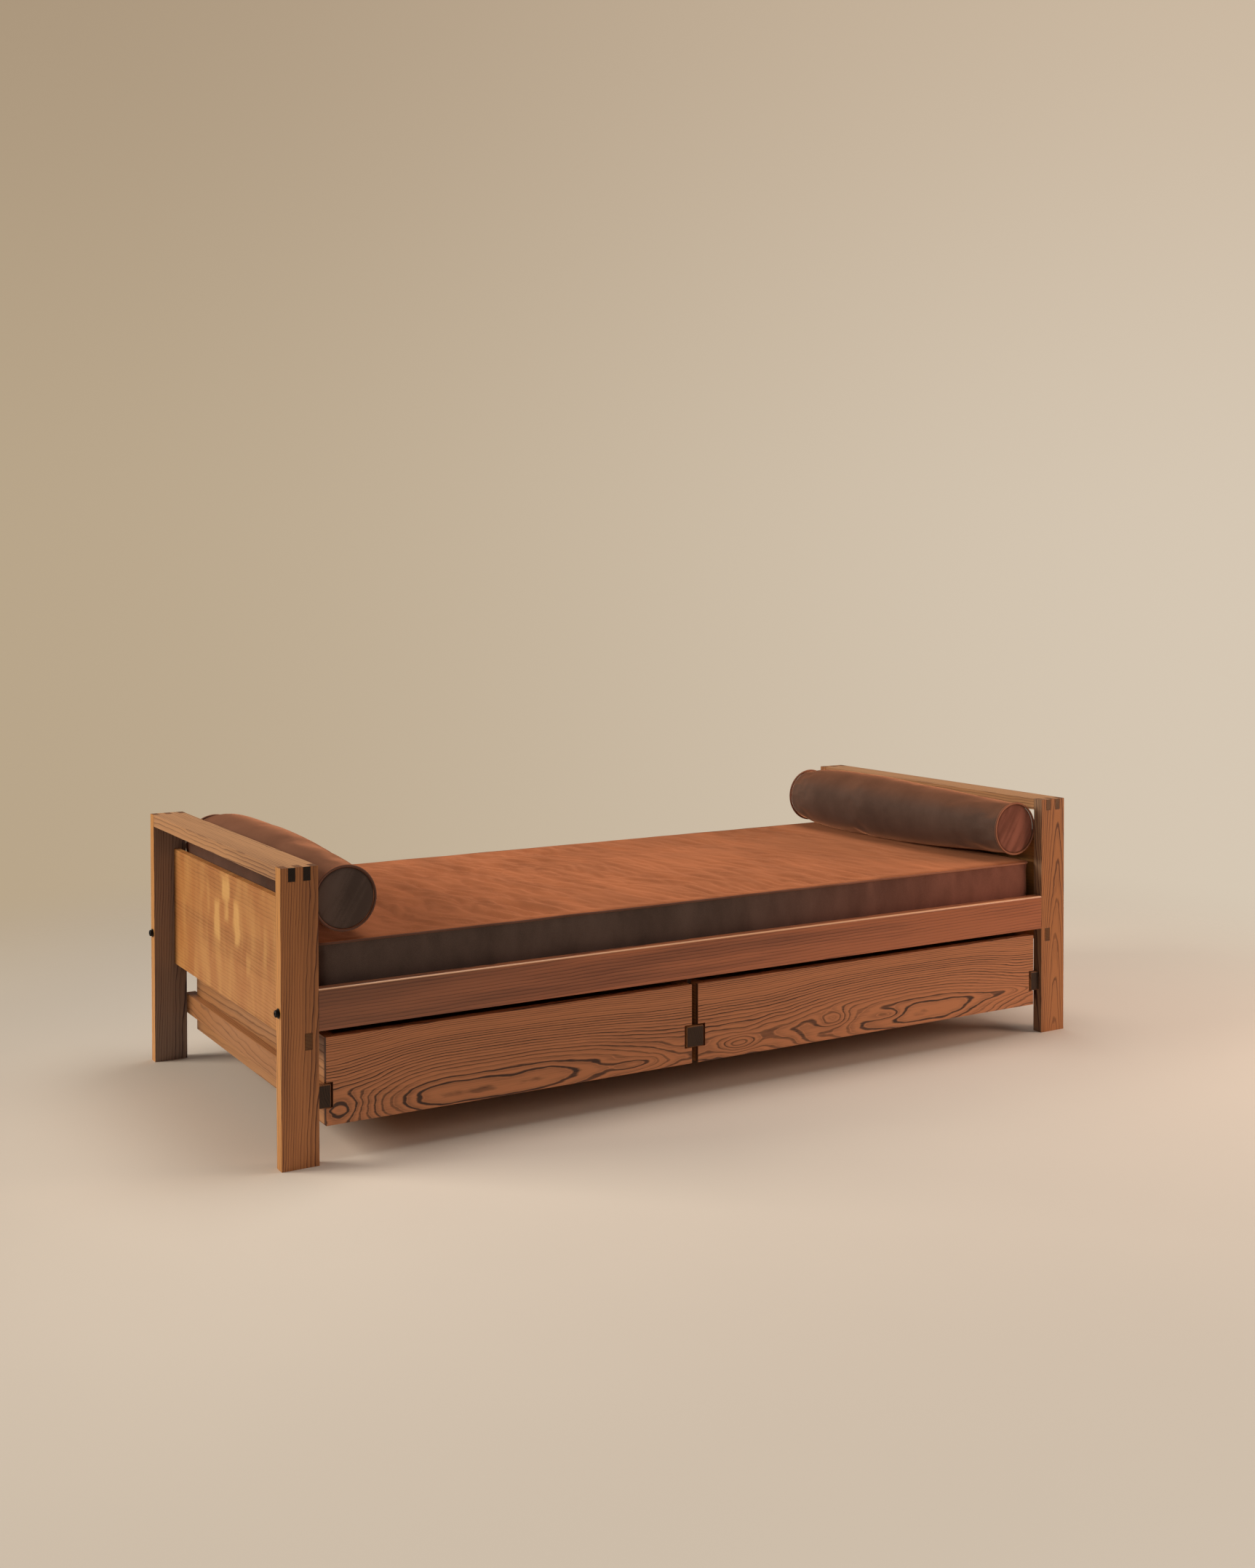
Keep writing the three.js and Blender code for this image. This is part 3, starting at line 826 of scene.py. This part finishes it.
def make_bolster(end, material, cord):
    low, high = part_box(f"{end}_bolster")
    middle_y = (low.y + high.y) / 2
    half = (high.y - low.y) / 2 + BOLSTER_EXTRA
    shape = BOLSTERS[end]
    side = -1 if end == "left" else 1
    vertices, count, seam_rings = bolster_rings(shape, middle_y, half, side)
    around = list(range(BOLSTER_SIDES))
    faces = [(ring * BOLSTER_SIDES + k, ring * BOLSTER_SIDES + (k + 1) % BOLSTER_SIDES,
              (ring + 1) * BOLSTER_SIDES + (k + 1) % BOLSTER_SIDES, (ring + 1) * BOLSTER_SIDES + k)
             for ring in range(count - 1) for k in around]
    faces += [tuple(around[::-1]), tuple((count - 1) * BOLSTER_SIDES + k for k in around)]
    seams = [ring * BOLSTER_SIDES + k for ring in seam_rings for k in around]
    body = f"{end}_bolster"
    cover = new_piece(f"{end}_bolster_cover", vertices, faces, material, body)
    puff(cover, seams, pressure=1.5, slack=0.004, cap=0.0022)
    rest_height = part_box("mattress")[1].z + REST_CLEAR
    set_points(cover.data, settle(points_of(cover.data), rest_height))
    refine(cover)
    set_points(cover.data, settle(points_of(cover.data), rest_height))
    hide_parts(f"{end}_bolster")
    for name, ring in zip(("front", "rear"), seam_rings):
        rim = np.array(vertices[ring * BOLSTER_SIDES:(ring + 1) * BOLSTER_SIDES])
        rim += 0.02 * (rim - rim.mean(axis=0))
        tube(f"{end}_bolster_{name}_piping", settle(rim, rest_height + BOLSTER_PIPING),
             BOLSTER_PIPING, cord, body)


def make_cushions():
    # Each velvet's tones carry painted light and shade: up and side, then the front at its left
    # and right end.
    cord = velvet("piping_velvet", (0.26, 0.095, 0.048), (0.14, 0.068, 0.046),
                  front=((0.160, 0.082, 0.060), (0.420, 0.170, 0.100)))
    mattress = velvet("mattress_velvet", (0.36, 0.118, 0.048), (0.105, 0.068, 0.054),
                      front=((0.110, 0.078, 0.065), (0.250, 0.100, 0.070)), sheen=0.5,
                      nap=(14.0, 4.0, 6.0))
    make_mattress(mattress, cord)
    bolster = velvet("bolster_velvet", (0.150, 0.064, 0.036), (0.105, 0.066, 0.051),
                     front=((0.110, 0.080, 0.068), (0.290, 0.110, 0.076)), slant=1.2)
    for end in ("left", "right"):
        make_bolster(end, bolster, cord)


# ---------------------------------------------------------------- studio
FLOOR_TONE = (0.80, 0.71, 0.615)
FLOOR_RADIUS = 9.0
FLOOR_FADE = (1.25, 3.2)
# What the eye sees round the floor, at the left and right edge of the view: high up, from
# the horizon to a little below it, and down near the eye's feet. The tones are the
# backdrop's painted light and shade, darker to the left and higher up.
BACKDROP = {"high": ((0.39, 0.292, 0.193), (0.595, 0.475, 0.350)),
            "low": ((0.48, 0.375, 0.250), (0.68, 0.580, 0.460)),
            "near": ((0.60, 0.500, 0.388), (0.655, 0.555, 0.440))}
AMBIENT = 0.135
LIGHTS = [
    # name, place, aim, (width, height), watts, colour
    ("key", (-5.6, 2.2, 3.0), (-0.3, 0.0, 0.3), (2.6, 2.6), 275.0, (1.0, 0.92, 0.80)),
    ("overhead", (0.9, 0.1, 6.0), (0.4, -0.2, 0.0), (3.4, 3.4), 175.0, (1.0, 0.95, 0.88)),
    ("right_fill", (3.0, -2.2, 1.3), (0.9, -0.4, 0.3), (1.2, 1.2), 43.0, (1.0, 0.70, 0.54)),
]


def make_floor():
    data = bpy.data.meshes.new("studio_floor")
    steps = 96
    data.from_pydata([(FLOOR_RADIUS * math.cos(2 * math.pi * k / steps),
                       FLOOR_RADIUS * math.sin(2 * math.pi * k / steps), 0.0)
                      for k in range(steps)], [], [tuple(range(steps))])
    floor = bpy.data.objects.new("studio_floor", data)
    bpy.context.scene.collection.objects.link(floor)
    g = Graph("studio_paper")
    speck = g.noise(g.place(), 3.0, 2.0)
    darker = tuple(0.97 * tone for tone in FLOOR_TONE)
    x, y, _ = g.split(g.place())
    # Painted shade: the paper darkens towards the back left, where less light falls.
    painted_floor_shade = g.span(g.math("SUBTRACT", y, x), 0.1, 2.6, 1.0, 0.70)
    color = g.mix(1.0, g.mix(speck, FLOOR_TONE, darker), g.combine(painted_floor_shade, painted_floor_shade, painted_floor_shade), "MULTIPLY")
    distance = g.math("SQRT", g.total(g.product(x, x), g.product(y, y)))
    g.feed(g.shader.inputs["Alpha"], g.span(distance, *FLOOR_FADE, 1.0, 0.0))
    data.materials.append(g.finish(color, 0.9))


def make_lights():
    for name, place, aim, (width, height), watts, color in LIGHTS:
        light = bpy.data.lights.new(name, "AREA")
        light.shape = "RECTANGLE"
        light.size = width
        light.size_y = height
        light.energy = watts
        light.color = color
        lamp = bpy.data.objects.new(name, light)
        lamp.location = place
        lamp.rotation_euler = (Vector(aim) - Vector(place)).to_track_quat("-Z", "Y").to_euler()
        bpy.context.scene.collection.objects.link(lamp)


def make_air():
    """Soft even light all round, behind which the eye sees a beige backdrop with painted light and
    shade, darker to the left and higher up.
    """
    g = Graph("studio_air", bpy.data.worlds)
    turned = g.tree.nodes.new("ShaderNodeVectorRotate")
    turned.rotation_type = "Z_AXIS"
    turned.inputs["Angle"].default_value = -CAMERA_YAW
    g.feed(turned.inputs["Vector"], g.points.outputs["Generated"])
    across, _, up = g.split(turned.outputs[0])
    to_right = g.span(across, -0.42, 0.42)
    high, low, near = (g.mix(to_right, *BACKDROP[level]) for level in ("high", "low", "near"))
    seen = g.tree.nodes["Background"]
    above = g.mix(g.span(up, 0.0, 0.40), low, high)
    g.feed(seen.inputs["Color"], g.mix(g.span(up, -0.40, -0.21), near, above))
    light = g.tree.nodes.new("ShaderNodeBackground")
    light.inputs["Color"].default_value = (1.0, 0.95, 0.88, 1)
    light.inputs["Strength"].default_value = AMBIENT
    chosen = g.tree.nodes.new("ShaderNodeMixShader")
    path = g.tree.nodes.new("ShaderNodeLightPath")
    for output, socket in zip((path.outputs["Is Camera Ray"], light.outputs[0], seen.outputs[0]),
                              chosen.inputs):
        g.feed(socket, output)
    g.feed(g.tree.nodes["World Output"].inputs[0], chosen.outputs[0])
    bpy.context.scene.world = g.owner
    bpy.context.scene.view_settings.view_transform = "Standard"


# ---------------------------------------------------------------- make everything
make_camera()
dress_boards()
dress_steel()
make_cushions()
make_floor()
make_lights()
make_air()
